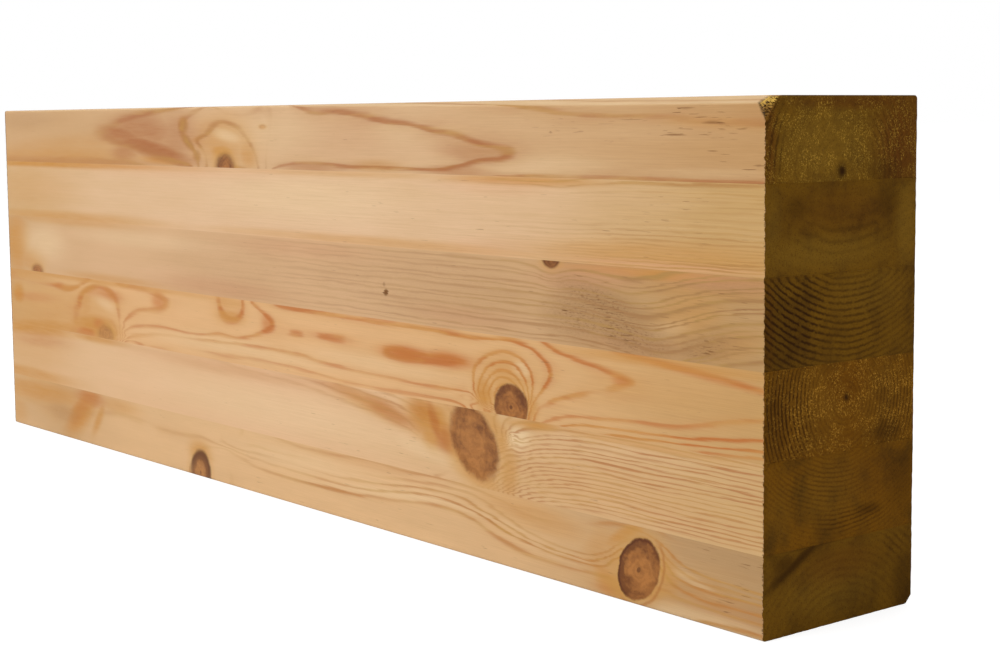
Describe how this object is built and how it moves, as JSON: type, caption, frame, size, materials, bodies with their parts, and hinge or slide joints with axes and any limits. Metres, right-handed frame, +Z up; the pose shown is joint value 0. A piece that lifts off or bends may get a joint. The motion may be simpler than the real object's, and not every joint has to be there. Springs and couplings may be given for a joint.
{
  "type": "glulam beam",
  "caption": "Rectangular glued laminated pine beam standing on its narrow edge, planed all round with eased long arrises and square sawn ends.",
  "frame": {"origin": "middle of the underside, on the floor that the beam stands on", "axes": "+X along the beam, out of the sawn end that the picture shows; +Y across the beam's width, away from the show side; +Z up, from the bottom lamination to the top one"},
  "size_m": [0.88, 0.115, 0.27],
  "materials": {
    "pink_tan_pine": "planed, pressure treated",
    "cream_pine": "planed, pressure treated",
    "greyish_pine": "planed, pressure treated",
    "orange_pine": "planed, pressure treated",
    "honey_pine": "planed, pressure treated"
  },
  "bodies": {
    "root": {"lamination_1": "pink_tan_pine", "lamination_2": "cream_pine", "lamination_3": "greyish_pine", "lamination_4": "orange_pine", "lamination_5": "honey_pine", "lamination_6": "honey_pine"}
  },
  "joints": []
}
